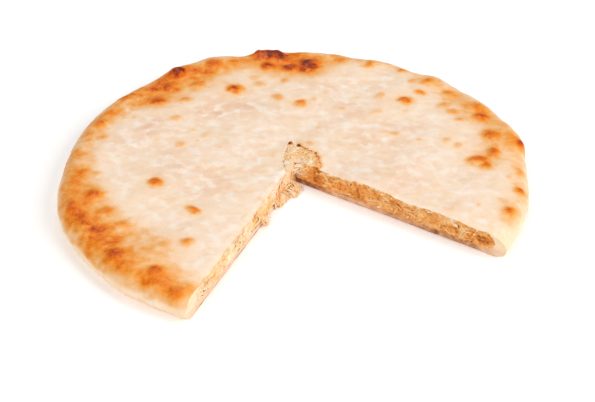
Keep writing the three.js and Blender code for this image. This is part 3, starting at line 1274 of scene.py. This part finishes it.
    def fallen(self, rng: np.random.Generator) -> dict[str, np.ndarray]:
        """Shreds that fell out of the left-hand cut in a small heap.

        Args:
            rng: the random draws.

        Returns:
            The same as on_cut.
        """
        n = self.loose
        face = self.filling.faces[1]
        reach, height = self.heap
        far = rng.uniform(size=n) < self.strays
        along = np.where(far, rng.uniform(*self.strays_along, n), rng.uniform(*self.heap_along, n))
        near = 0.64 * smooth(25.0, 12.0, along) + 0.36 * smooth(38.0, 28.0, along)
        widest = reach * np.where(far, 0.3, near)[:, None] + 0.5
        out = widest[:, 0] * rng.uniform(0, 1, n)
        heading = rng.uniform(-0.3, np.pi - 0.3, n)[:, None]
        step = np.linspace(-0.5, 0.5, self.stations)[None] * rng.uniform(3.5, 8.5, n)[:, None]
        curl = rng.normal(0, 0.05, n)[:, None] * step**2
        s = along[:, None] + step * np.cos(heading) - curl * np.sin(heading)
        out = np.clip(out[:, None] + step * np.sin(heading) + curl * np.cos(heading), -0.8, widest + 0.6)
        roof = height * np.clip(1 - np.clip(out / (widest + 0.6), 0, 1) ** 1.5, 0.05, 1)
        up = 0.5 + roof * rng.uniform(0.55, 1, n)[:, None]
        return {
            "path": face.place(s, out, up),
            "normal": np.broadcast_to(UP, (n, 3)),
            "tone": np.clip(rng.normal(self.loose_tone, 0.1, n), 0, 1),
            "wide": 0.9,
        }

    def build(self, materials: list[bpy.types.Material], axis: Vector) -> bpy.types.Object:
        """Makes every shred, all in one mesh.

        Args:
            materials: the shreds' one finish.
            axis: place of the pie's axis, in metres.

        Returns:
            The shreds.
        """
        rng = np.random.default_rng(self.seed)
        right, left = self.filling.faces
        groups = (
            self.on_cut(rng, right),
            self.on_cut(rng, left),
            self.in_the_vent(rng),
            self.fallen(rng),
            self.across_the_tip(rng),
        )
        work = MeshWork()
        for group in groups:
            self.add_group(work, rng, group)
        return work.to_object("cabbage_shreds", materials, axis)

    def add_group(self, work: MeshWork, rng: np.random.Generator, group: dict[str, np.ndarray]) -> None:
        """Adds one group of shreds as flat strands with closed, rounded ends.

        Args:
            work: the mesh so far.
            rng: the random draws.
            group: what on_cut gives.
        """
        path = group["path"]
        n = len(path)
        tangent = np.gradient(path, axis=1)
        tangent /= np.linalg.norm(tangent, axis=2, keepdims=True) + 1e-9
        facing = group["normal"] + rng.normal(0, 0.25, (n, 3))
        wide = np.cross(tangent, facing[:, None])
        wide /= np.linalg.norm(wide, axis=2, keepdims=True) + 1e-9
        thick = np.cross(wide, tangent)
        t = np.linspace(-1, 1, self.stations)
        taper = np.sqrt(np.clip(1 - np.abs(t) ** 5, 0.12, 1))
        uneven = taper * rng.uniform(0.8, 1.2, (n, self.stations))
        half_width = group["wide"] * rng.uniform(*self.cut.width, n)[:, None] / 2 * uneven
        half_thick = group["wide"] * rng.uniform(*self.cut.thickness, n)[:, None] / 2 * taper
        round_a = np.linspace(0, 2 * np.pi, self.sides, endpoint=False)
        ring = (
            path[:, :, None]
            + (half_width[:, :, None] * np.cos(round_a))[..., None] * wide[:, :, None]
            + (half_thick[:, :, None] * np.sin(round_a))[..., None] * thick[:, :, None]
        )
        tone = np.broadcast_to(group["tone"][:, None, None], ring.shape[:3])
        numbers = work.add_points(ring, tone=tone)
        tips = path[:, [0, -1]] + tangent[:, [0, -1]] * np.array([-0.25, 0.25])[:, None]
        ends = work.add_points(tips, tone=np.broadcast_to(group["tone"][:, None], (n, 2)))
        looped = np.concatenate([numbers, numbers[:, :, :1]], axis=2)
        low, high = looped[:, :-1], looped[:, 1:]
        sides = np.stack([low[:, :, :-1], high[:, :, :-1], high[:, :, 1:], low[:, :, 1:]], axis=-1)
        work.add_faces(sides.reshape(-1, 4))
        for end, at in enumerate((0, -1)):
            a, b = looped[:, at, :-1], looped[:, at, 1:]
            pair = (b, a) if end else (a, b)
            tip = np.broadcast_to(ends[:, end : end + 1], a.shape)
            work.add_faces(np.stack([tip, *pair], axis=-1).reshape(-1, 3))


@dataclass(frozen=True)
class Bits:
    """Small irregular bits of one kind, strewn over the cuts and in the vent."""

    filling: Filling
    name: str
    per_cut: tuple[int, int]  # on the right and left cut
    in_vent: int
    size: tuple[float, float]  # smallest and largest width, mm
    flatness: float  # thickness over width
    proud: float  # how far their middles stand out of the filling
    subdivisions: int
    seed: int

    def build(self, materials: list[bpy.types.Material], axis: Vector) -> bpy.types.Object:
        """Makes the bits, all in one mesh.

        Args:
            materials: their one finish.
            axis: place of the pie's axis, in metres.

        Returns:
            The bits.
        """
        rng = np.random.default_rng(self.seed)
        shape = bmesh.new()
        bmesh.ops.create_icosphere(shape, subdivisions=self.subdivisions, radius=1.0)
        corners = np.array([v.co[:] for v in shape.verts])
        faces = np.array([[v.index for v in face.verts] for face in shape.faces])
        shape.free()
        work = MeshWork()
        middles, normals = self.places(rng)
        for i, (middle, normal) in enumerate(zip(middles, normals)):
            half = rng.uniform(*self.size) / 2
            lumpy = 1 + 0.5 * Grain(self.seed).at(corners * 1.1 + 7.3 * i, 1.0, 2)
            shaped = corners * lumpy[:, None] * half * np.array([1, rng.uniform(0.55, 1), self.flatness])
            facing = Vector(normal + rng.normal(0, 0.45, 3))
            turned = facing.to_track_quat("Z", "Y").to_matrix()
            spin = Matrix.Rotation(rng.uniform(0, 2 * np.pi), 3, "Z")
            spun = shaped @ np.array(spin).T
            tone = np.full(len(corners), rng.uniform())
            numbers = work.add_points(spun @ np.array(turned).T + middle, tone=tone)
            work.add_faces(numbers[faces])
        return work.to_object(self.name, materials, axis)

    def places(self, rng: np.random.Generator) -> tuple[np.ndarray, np.ndarray]:
        """Scatters the bits.

        Args:
            rng: the random draws.

        Returns:
            Places of their middles, and the normals of what they lie on.
        """
        middles, normals = [], []
        for face, n in zip(self.filling.faces, self.per_cut):
            along = rng.uniform(4, self.filling.reach(np.array(face.deg)) - 2, n)
            floor, top = self.filling.limits(along, np.full_like(along, face.deg))
            up = floor + 0.9 + (top - floor - 1.8) * rng.uniform(0, 1, n)
            out = self.filling.bulged(face, along, up) + self.proud + rng.uniform(0, 0.3, n)
            middles.append(face.place(along, out, up))
            normals.append(np.broadcast_to(face.across()[1], (n, 3)))
        f = self.filling.form
        deg = rng.uniform(f.cut_right + 3, f.cut_left - 3, self.in_vent)
        r = (self.filling.dough.vent_edge(deg) - 0.6) * np.sqrt(rng.uniform(0.01, 1, self.in_vent))
        _, top = self.filling.limits(r, deg)
        middles.append(about(r, deg, top + self.proud))
        normals.append(np.broadcast_to(UP, (self.in_vent, 3)))
        return np.concatenate(middles), np.concatenate(normals)


# ---------------------------------------------------------------- finishes


def new_material(name: str) -> tuple[bpy.types.Material, bpy.types.NodeTree]:
    """Makes an empty node material.

    Args:
        name: the material's name.

    Returns:
        The material and its node tree.
    """
    material = bpy.data.materials.new(name)
    material.use_nodes = True
    material.node_tree.nodes.clear()
    return material, material.node_tree


def per_metre(size_mm: float) -> float:
    """Scale of a pattern whose features are this many millimetres wide."""
    return 1 / (size_mm * MM)


def lit_through(weight: float, spread: tuple[float, float, float], reach_mm: float) -> dict:
    """Shader inputs of a material that light passes into."""
    return {"Subsurface Weight": weight, "Subsurface Radius": spread, "Subsurface Scale": reach_mm * MM}


def end_tree(tree: bpy.types.NodeTree, inputs: dict, relief: tuple | None = None) -> None:
    """Ends a material's tree with its shader and its output.

    Args:
        tree: the node tree.
        inputs: the shader's inputs.
        relief: output socket, strength and depth in millimetres of its bumps, if it has any.
    """
    if relief:
        height, strength, depth = relief
        bump = {"Height": height, "Strength": strength, "Distance": depth * MM}
        inputs = {**inputs, "Normal": add_node(tree, "ShaderNodeBump", bump).outputs[0]}
    shader = add_node(tree, "ShaderNodeBsdfPrincipled", inputs)
    add_node(tree, "ShaderNodeOutputMaterial", {"Surface": shader.outputs[0]})


@dataclass(frozen=True)
class Patches:
    """Patches of one colour, laid where a noise pattern is high."""

    pattern: str
    low: float  # value of the pattern where they start
    high: float  # value where they are full
    share: float  # how much they cover what lies under them
    colour: str


@dataclass(frozen=True)
class BakedCrust:
    """Wheat dough baked in a very hot oven and brushed with melted butter.

    Pale where it lay flat, golden to dark brown where it blistered. The butter gives small soft
    highlights, and the crust is thin enough to look pinker and darker in patches over the filling.
    """

    pale: str = "#fadfc5"
    rim: str = "#fbdcb3"
    see_through: str = "#efc5a6"
    patches: tuple[Patches, ...] = (
        Patches("tint", 0.50, 0.68, 0.6, "#f8d8ac"),
        Patches("crinkle", 0.50, 0.72, 0.4, "#f2ccae"),
        # whitish patches: partly dry flour, partly a painted highlight of the butter sheen
        Patches("mottle", 0.46, 0.68, 0.7, "#fdf1e5"),
    )
    browned: tuple[tuple[float, str], ...] = (
        (0.00, "#fbdfc2"),
        (0.12, "#f9d3ab"),
        (0.24, "#f6c18b"),
        (0.38, "#f3aa58"),
        (0.52, "#f0912e"),
        (0.66, "#e77810"),
        (0.80, "#cf5908"),
        (0.91, "#a63d12"),
        (1.00, "#6e2915"),
    )
    mottle_mm: float = 8.0  # flour and butter patches
    blotch_mm: float = 21.0  # where the dough was rolled thinner
    grain_mm: float = 1.3  # fine skin of the dough
    crinkle_mm: float = 3.4  # crinkles over the blisters
    ior: float = 1.45
    shine: float = 0.22
    butter: float = 0.08

    def make(self) -> bpy.types.Material:
        """Makes the material.

        Returns:
            The material, ready for its slot.
        """
        material, tree = new_material("baked_crust")
        place = add_node(tree, "ShaderNodeTexCoord").outputs["Object"]
        brown, thin, rim = (
            add_node(tree, "ShaderNodeAttribute", attribute_name=name).outputs["Fac"]
            for name in ("browning", "thinness", "rimward")
        )
        patterns = {
            "fine": (self.grain_mm, 4.0, 0.5, 0.0),
            "crinkle": (self.crinkle_mm, 3.0, 0.5, 0.6),
            "mottle": (self.mottle_mm, 4.0, 0.55, 0.0),
            "blotch": (self.blotch_mm, 4.0, 0.55, 0.2),
            "tint": (self.mottle_mm * 1.7, 4.0, 0.55, 0.3),
        }
        noise = {}
        for seed, (name, (size, detail, roughness, distortion)) in enumerate(patterns.items()):
            inputs = {"Vector": place, "Location": (seed * 1.7, seed * 0.9, 0)}
            moved = add_node(tree, "ShaderNodeMapping", inputs).outputs[0]
            inputs = {
                "Vector": moved,
                "Scale": per_metre(size),
                "Detail": detail,
                "Roughness": roughness,
                "Distortion": distortion,
            }
            noise[name] = add_node(tree, "ShaderNodeTexNoise", inputs).outputs["Fac"]

        # pale dough: yellower at the rim, whiter in patches that are partly dry flour and partly a painted
        # highlight of the butter sheen
        inputs = {"Factor": rim, 6: linear(self.pale), 7: linear(self.rim)}
        base = add_node(tree, "ShaderNodeMix", inputs, data_type="RGBA").outputs[2]
        for layer in self.patches:
            inputs = {
                "Value": noise[layer.pattern],
                "From Min": layer.low,
                "From Max": layer.high,
                "To Max": layer.share,
            }
            share = add_node(tree, "ShaderNodeMapRange", inputs).outputs[0]
            inputs = {"Factor": share, 6: base, 7: linear(layer.colour)}
            base = add_node(tree, "ShaderNodeMix", inputs, data_type="RGBA").outputs[2]

        # pinker where it is thin over the filling
        inputs = {"Value": noise["blotch"], "From Min": 0.48, "From Max": 0.68, "To Max": 0.6}
        patch = add_node(tree, "ShaderNodeMapRange", inputs).outputs[0]
        shown = add_node(tree, "ShaderNodeMath", {0: thin, 1: patch}, operation="ADD").outputs[0]
        inputs = {"Value": noise["mottle"], "From Min": 0.64, "From Max": 0.4}
        damp = add_node(tree, "ShaderNodeMapRange", inputs).outputs[0]
        inputs = {0: shown, 1: damp}
        shown = add_node(tree, "ShaderNodeMath", inputs, operation="MULTIPLY", use_clamp=True).outputs[0]
        inputs = {"Factor": shown, 6: base, 7: linear(self.see_through)}
        base = add_node(tree, "ShaderNodeMix", inputs, data_type="RGBA").outputs[2]

        # browning, broken up by the grain of the skin
        toned = brown
        for name, least in (("fine", 0.92), ("crinkle", 0.86), ("mottle", 0.9)):
            inputs = {
                "Value": noise[name],
                "From Min": 0.3,
                "From Max": 0.7,
                "To Min": least,
                "To Max": 2 - least,
            }
            streak = add_node(tree, "ShaderNodeMapRange", inputs).outputs[0]
            toned = add_node(tree, "ShaderNodeMath", {0: toned, 1: streak}, operation="MULTIPLY").outputs[0]
        ramp = add_node(tree, "ShaderNodeValToRGB", {"Fac": toned}, stops=self.browned).outputs["Color"]
        cover = add_node(tree, "ShaderNodeMapRange", {"Value": toned, "From Max": 0.22}).outputs[0]
        inputs = {"Factor": cover, 6: base, 7: ramp}
        colour = add_node(tree, "ShaderNodeMix", inputs, data_type="RGBA").outputs[2]

        inputs = {"Value": noise["mottle"], "From Min": 0.3, "From Max": 0.7, "To Min": 0.36, "To Max": 0.6}
        rough = add_node(tree, "ShaderNodeMapRange", inputs).outputs[0]
        height = noise["fine"]
        for name, share in (("mottle", 0.4), ("crinkle", 0.4)):
            inputs = {"Factor": share, 2: height, 3: noise[name]}
            height = add_node(tree, "ShaderNodeMix", inputs, data_type="FLOAT").outputs[0]
        inputs = {
            "Base Color": colour,
            "Roughness": rough,
            "IOR": self.ior,
            "Specular IOR Level": self.shine,
            "Coat Weight": self.butter,
            "Coat Roughness": 0.25,
            **lit_through(0.06, (1.0, 0.45, 0.2), 3.0),
        }
        end_tree(tree, inputs, (height, 0.45, 0.7))
        return material


@dataclass(frozen=True)
class CutCrumb:
    """The inside of baked wheat dough, cut with a knife: matt, close and a little porous.

    The bottom crust took up juice from the filling, so it is browner than the dry dough over it. It is
    browner at the right-hand cut and darkest by the wedge's tip, partly from juice and partly as painted
    shade.
    """

    juicy_and_shaded: tuple[tuple[float, str], ...] = (
        (0.0, "#f8d4b4"),
        (0.4, "#e6b188"),
        (0.8, "#c4895c"),
        # darkest stop: painted shade for the deep corner by the wedge's tip
        (1.0, "#96583a"),
    )
    dry: str = "#fbdfba"
    # colour of the crumb's small holes: painted shade
    pore_shade: str = "#c98a5c"
    toasted: str = "#cf9058"
    pore_mm: float = 1.0
    toasted_mm: float = 0.8  # browned skin under the pie

    def make(self) -> bpy.types.Material:
        """Makes the material.

        Returns:
            The material, ready for its slot.
        """
        material, tree = new_material("cut_crumb")
        place = add_node(tree, "ShaderNodeTexCoord").outputs["Object"]
        height = add_node(tree, "ShaderNodeSeparateXYZ", {"Vector": place}).outputs["Z"]
        # this juice, read from the browning attribute, includes painted shade at the right-hand cut and by
        # the tip
        juice = add_node(tree, "ShaderNodeAttribute", attribute_name="browning").outputs["Fac"]
        inputs = {"Vector": place, "Scale": per_metre(6.0), "Detail": 5.0, "Roughness": 0.6}
        broad = add_node(tree, "ShaderNodeTexNoise", inputs).outputs["Fac"]
        inputs = {"Vector": place, "Scale": per_metre(0.7), "Detail": 3.0}
        fine = add_node(tree, "ShaderNodeTexNoise", inputs).outputs["Fac"]
        inputs = {"Vector": place, "Scale": per_metre(self.pore_mm), "Randomness": 1.0}
        pores = add_node(tree, "ShaderNodeTexVoronoi", inputs).outputs["Distance"]

        inputs = {"Value": broad, "From Min": 0.3, "From Max": 0.7, "To Min": 0.4, "To Max": 1.6}
        uneven = add_node(tree, "ShaderNodeMapRange", inputs).outputs[0]
        soaked_and_shaded = add_node(tree, "ShaderNodeMath", {0: juice, 1: uneven}, operation="MULTIPLY").outputs[0]
        colour = add_node(tree, "ShaderNodeValToRGB", {"Fac": soaked_and_shaded}, stops=self.juicy_and_shaded).outputs["Color"]
        layers = (
            (height, 4.5 * MM, 8.0 * MM, 1.0, self.dry),
            # pores darkened: painted shade in the crumb's small holes
            (pores, 0.28, 0.08, 0.4, self.pore_shade),
            (height, self.toasted_mm * MM, 0.2 * MM, 0.5, self.toasted),
        )
        for value, start, full, share, code in layers:
            inputs = {"Value": value, "From Min": start, "From Max": full, "To Max": share}
            cover = add_node(tree, "ShaderNodeMapRange", inputs).outputs[0]
            inputs = {"Factor": cover, 6: colour, 7: linear(code)}
            colour = add_node(tree, "ShaderNodeMix", inputs, data_type="RGBA").outputs[2]

        inputs = {"Factor": 0.5, 2: fine, 3: pores}
        relief = add_node(tree, "ShaderNodeMix", inputs, data_type="FLOAT").outputs[0]
        inputs = {
            "Base Color": colour,
            "Roughness": 0.72,
            "IOR": 1.4,
            "Specular IOR Level": 0.25,
            **lit_through(0.12, (1.0, 0.5, 0.25), 2.0),
        }
        end_tree(tree, inputs, (relief, 0.6, 0.5))
        return material


@dataclass(frozen=True)
class OvenBase:
    """The underside, baked on a hot floured tray: dry, matt and toasted in blotches."""

    floured: str = "#f3dcb8"
    toasted: str = "#deab70"
    scorched: str = "#ae6f38"

    def make(self) -> bpy.types.Material:
        """Makes the material.

        Returns:
            The material, ready for its slot.
        """
        material, tree = new_material("oven_base")
        place = add_node(tree, "ShaderNodeTexCoord").outputs["Object"]
        inputs = {"Vector": place, "Scale": per_metre(26.0), "Detail": 5.0, "Roughness": 0.6}
        broad = add_node(tree, "ShaderNodeTexNoise", inputs).outputs["Fac"]
        inputs = {"Vector": place, "Scale": per_metre(1.6), "Detail": 3.0}
        fine = add_node(tree, "ShaderNodeTexNoise", inputs).outputs["Fac"]
        inputs = {"Factor": 0.25, 2: broad, 3: fine}
        mixed = add_node(tree, "ShaderNodeMix", inputs, data_type="FLOAT").outputs[0]
        stops = ((0.36, self.floured), (0.52, self.toasted), (0.68, self.scorched))
        colour = add_node(tree, "ShaderNodeValToRGB", {"Fac": mixed}, stops=stops).outputs["Color"]
        inputs = {"Base Color": colour, "Roughness": 0.78, "IOR": 1.4}
        end_tree(tree, inputs, (fine, 0.5, 0.6))
        return material


FILLING_TONES = (
    (0.0, "#fde8ce"),
    (0.2, "#fad6ab"),
    (0.4, "#f7c282"),
    (0.6, "#f0a450"),
    (0.8, "#d87f2c"),
    (1.0, "#9f4f18"),
)


@dataclass(frozen=True)
class CookedFilling:
    """Braised cabbage and cheese pressed together: moist, uneven and golden, with painted shade darkening its
    hollows.
    """

    shred_mm: float = 2.2

    def make(self) -> bpy.types.Material:
        """Makes the material.

        Returns:
            The material, ready for its slot.
        """
        material, tree = new_material("cooked_filling")
        place = add_node(tree, "ShaderNodeTexCoord").outputs["Object"]
        tone = add_node(tree, "ShaderNodeAttribute", attribute_name="tone").outputs["Fac"]
        inputs = {"Vector": place, "Scale": (1.0, 1.0, 1.8)}
        stretched = add_node(tree, "ShaderNodeMapping", inputs).outputs[0]
        inputs = {"Vector": stretched, "Scale": per_metre(self.shred_mm), "Detail": 5.0, "Distortion": 0.8}
        shreds = add_node(tree, "ShaderNodeTexNoise", inputs).outputs["Fac"]
        inputs = {"Vector": place, "Scale": per_metre(0.9), "Detail": 3.0}
        fine = add_node(tree, "ShaderNodeTexNoise", inputs).outputs["Fac"]
        # darker where the shred pattern is low, in the hollows of the relief: painted shade; paler on the
        # ridges
        inputs = {"Value": shreds, "From Min": 0.3, "From Max": 0.7, "To Min": 0.26, "To Max": -0.2}
        shift = add_node(tree, "ShaderNodeMapRange", inputs).outputs[0]
        toned = add_node(tree, "ShaderNodeMath", {0: tone, 1: shift}, operation="ADD").outputs[0]
        colour = add_node(tree, "ShaderNodeValToRGB", {"Fac": toned}, stops=FILLING_TONES).outputs["Color"]
        inputs = {"Factor": 0.4, 2: shreds, 3: fine}
        height = add_node(tree, "ShaderNodeMix", inputs, data_type="FLOAT").outputs[0]
        inputs = {
            "Base Color": colour,
            "Roughness": 0.45,
            "IOR": 1.4,
            "Specular IOR Level": 0.3,
            **lit_through(0.12, (1.0, 0.45, 0.2), 2.5),
        }
        end_tree(tree, inputs, (height, 0.6, 0.8))
        return material


@dataclass(frozen=True)
class SoftBits:
    """Cooked bits that vary from one to the next: wet cabbage, brined cheese or dried herbs."""

    name: str
    stops: tuple[tuple[float, str], ...]  # colours from the palest bit to the darkest
    grain_mm: float
    roughness: float
    light_through: float

    def make(self) -> bpy.types.Material:
        """Makes the material.

        Returns:
            The material, ready for its slot.
        """
        material, tree = new_material(self.name)
        place = add_node(tree, "ShaderNodeTexCoord").outputs["Object"]
        tone = add_node(tree, "ShaderNodeAttribute", attribute_name="tone").outputs["Fac"]
        inputs = {"Vector": place, "Scale": per_metre(self.grain_mm), "Detail": 3.0}
        grain = add_node(tree, "ShaderNodeTexNoise", inputs).outputs["Fac"]
        inputs = {"Value": grain, "From Min": 0.3, "From Max": 0.7, "To Min": -0.12, "To Max": 0.12}
        shift = add_node(tree, "ShaderNodeMapRange", inputs).outputs[0]
        toned = add_node(tree, "ShaderNodeMath", {0: tone, 1: shift}, operation="ADD").outputs[0]
        colour = add_node(tree, "ShaderNodeValToRGB", {"Fac": toned}, stops=self.stops).outputs["Color"]
        inputs = {
            "Base Color": colour,
            "Roughness": self.roughness,
            "IOR": 1.4,
            "Specular IOR Level": 0.3,
            **lit_through(self.light_through, (1.0, 0.55, 0.3), 1.5),
        }
        end_tree(tree, inputs, (grain, 0.5, 0.4))
        return material


@dataclass(frozen=True)
class LightTable:
    """White acrylic sheet lit a little from below, as under things shown on plain white."""

    colour: str = "#faf9f8"
    glow: float = 0.16

    def make(self) -> bpy.types.Material:
        """Makes the material.

        Returns:
            The material, ready for its slot.
        """
        material, tree = new_material("light_table")
        inputs = {
            "Base Color": linear(self.colour),
            "Roughness": 0.9,
            "Emission Color": linear(self.colour),
            "Emission Strength": self.glow,
        }
        end_tree(tree, inputs)
        return material


# ---------------------------------------------------------------- the studio


@dataclass(frozen=True)
class SoftBox:
    """One square studio light, aimed at the pie."""

    name: str
    place: tuple[float, float, float]  # metres
    side: float  # metres
    watts: float


@dataclass(frozen=True)
class Studio:
    """Floor, soft lights and camera."""

    floor_side: float = 6.0
    ambient: float = 0.26
    boxes: tuple[SoftBox, ...] = (
        SoftBox("left_light", (-1.015, -1.533, 1.543), 1.44, 24.0),
        SoftBox("right_light", (1.827, -0.787, 1.342), 1.44, 37.5),
        SoftBox("back_light", (-0.1, 0.75, 1.2), 0.8, 4.6),
    )
    target: tuple[float, float, float] = (0.0004, -0.0306, 0.0)
    elevation: float = 35.5  # degrees above the floor
    distance: float = 0.827
    lens: float = 72.6

    def build(self) -> None:
        """Makes the floor, the lights and the camera."""
        mesh = bpy.data.meshes.new("studio_floor")
        half = self.floor_side / 2
        low = -0.0002  # just below what rests on it
        corners = [(x, y, low) for x, y in ((-half, -half), (half, -half), (half, half), (-half, half))]
        mesh.from_pydata(corners, [], [(0, 1, 2, 3)])
        mesh.materials.append(LightTable().make())
        floor = bpy.data.objects.new("studio_floor", mesh)
        bpy.context.scene.collection.objects.link(floor)
        for box in self.boxes:
            data = bpy.data.lights.new(box.name, "AREA")
            data.size = box.side
            data.energy = box.watts
            light = bpy.data.objects.new(box.name, data)
            light.location = box.place
            light.rotation_euler = (-Vector(box.place)).to_track_quat("-Z", "Y").to_euler()
            bpy.context.scene.collection.objects.link(light)
        world = bpy.data.worlds.new("studio_world")
        world.use_nodes = True
        world.node_tree.nodes.clear()
        inputs = {"Color": (1, 1, 1, 1), "Strength": self.ambient}
        sky = add_node(world.node_tree, "ShaderNodeBackground", inputs)
        add_node(world.node_tree, "ShaderNodeOutputWorld", {"Surface": sky.outputs[0]})
        bpy.context.scene.world = world
        bpy.context.scene.view_settings.view_transform = "Standard"

        lens = bpy.data.cameras.new("camera")
        lens.lens = self.lens
        camera = bpy.data.objects.new("camera", lens)
        tilt = np.radians(self.elevation)
        back = Vector((0, -np.cos(tilt), np.sin(tilt)))
        camera.location = Vector(self.target) + back * self.distance
        camera.rotation_euler = (-back).to_track_quat("-Z", "Y").to_euler()
        bpy.context.scene.collection.objects.link(camera)
        bpy.context.scene.camera = camera


# ---------------------------------------------------------------- assembly


def dress(piece: bpy.types.Object, slot: str, *nodes: str) -> None:
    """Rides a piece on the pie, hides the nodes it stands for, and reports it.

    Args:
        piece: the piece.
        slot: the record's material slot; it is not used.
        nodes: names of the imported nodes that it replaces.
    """
    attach(piece, BODY)
    if nodes:
        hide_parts(*nodes)
    LOG.info("%s: %d points, %d faces", piece.name, len(piece.data.vertices), len(piece.data.polygons))


def main() -> None:
    """Builds the pie and its studio."""
    logging.basicConfig(level=logging.INFO, format="%(name)s: %(message)s")
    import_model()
    form = PieForm()
    axis = form.axis_place()

    dough = Dough(form, Bake())
    crumb = CutCrumb().make()
    dress(dough.build([BakedCrust().make(), crumb, OvenBase().make()], axis), "crust", "dough")

    filling = Filling(form, dough)
    dress(filling.build([CookedFilling().make()], axis), "filling", "filling")
    cabbage = SoftBits("cooked_cabbage", FILLING_TONES, grain_mm=1.2, roughness=0.45, light_through=0.08)
    dress(Shreds(filling).build([cabbage.make()], axis), "filling")
    stops = ((0.0, "#fae6c4"), (0.6, "#f4d3a2"), (1.0, "#ecbb7c"))
    cheese = SoftBits("brined_cheese", stops, grain_mm=1.0, roughness=0.5, light_through=0.25)
    lumps = Bits(
        filling,
        "cheese_lumps",
        per_cut=(9, 22),
        in_vent=20,
        size=(1.2, 2.8),
        flatness=0.5,
        proud=0.0,
        subdivisions=2,
        seed=81,
    )
    dress(lumps.build([cheese.make()], axis), "filling")
    stops = ((0.0, "#a06c2e"), (0.5, "#6f4d24"), (1.0, "#3d3219"))
    herbs = SoftBits("dried_herbs", stops, grain_mm=0.8, roughness=0.6, light_through=0.05)
    flecks = Bits(
        filling,
        "herb_flecks",
        per_cut=(12, 12),
        in_vent=3,
        size=(0.8, 1.6),
        flatness=0.22,
        proud=0.2,
        subdivisions=1,
        seed=91,
    )
    dress(flecks.build([herbs.make()], axis), "filling")

    Studio().build()


if __name__ == "__main__":
    main()
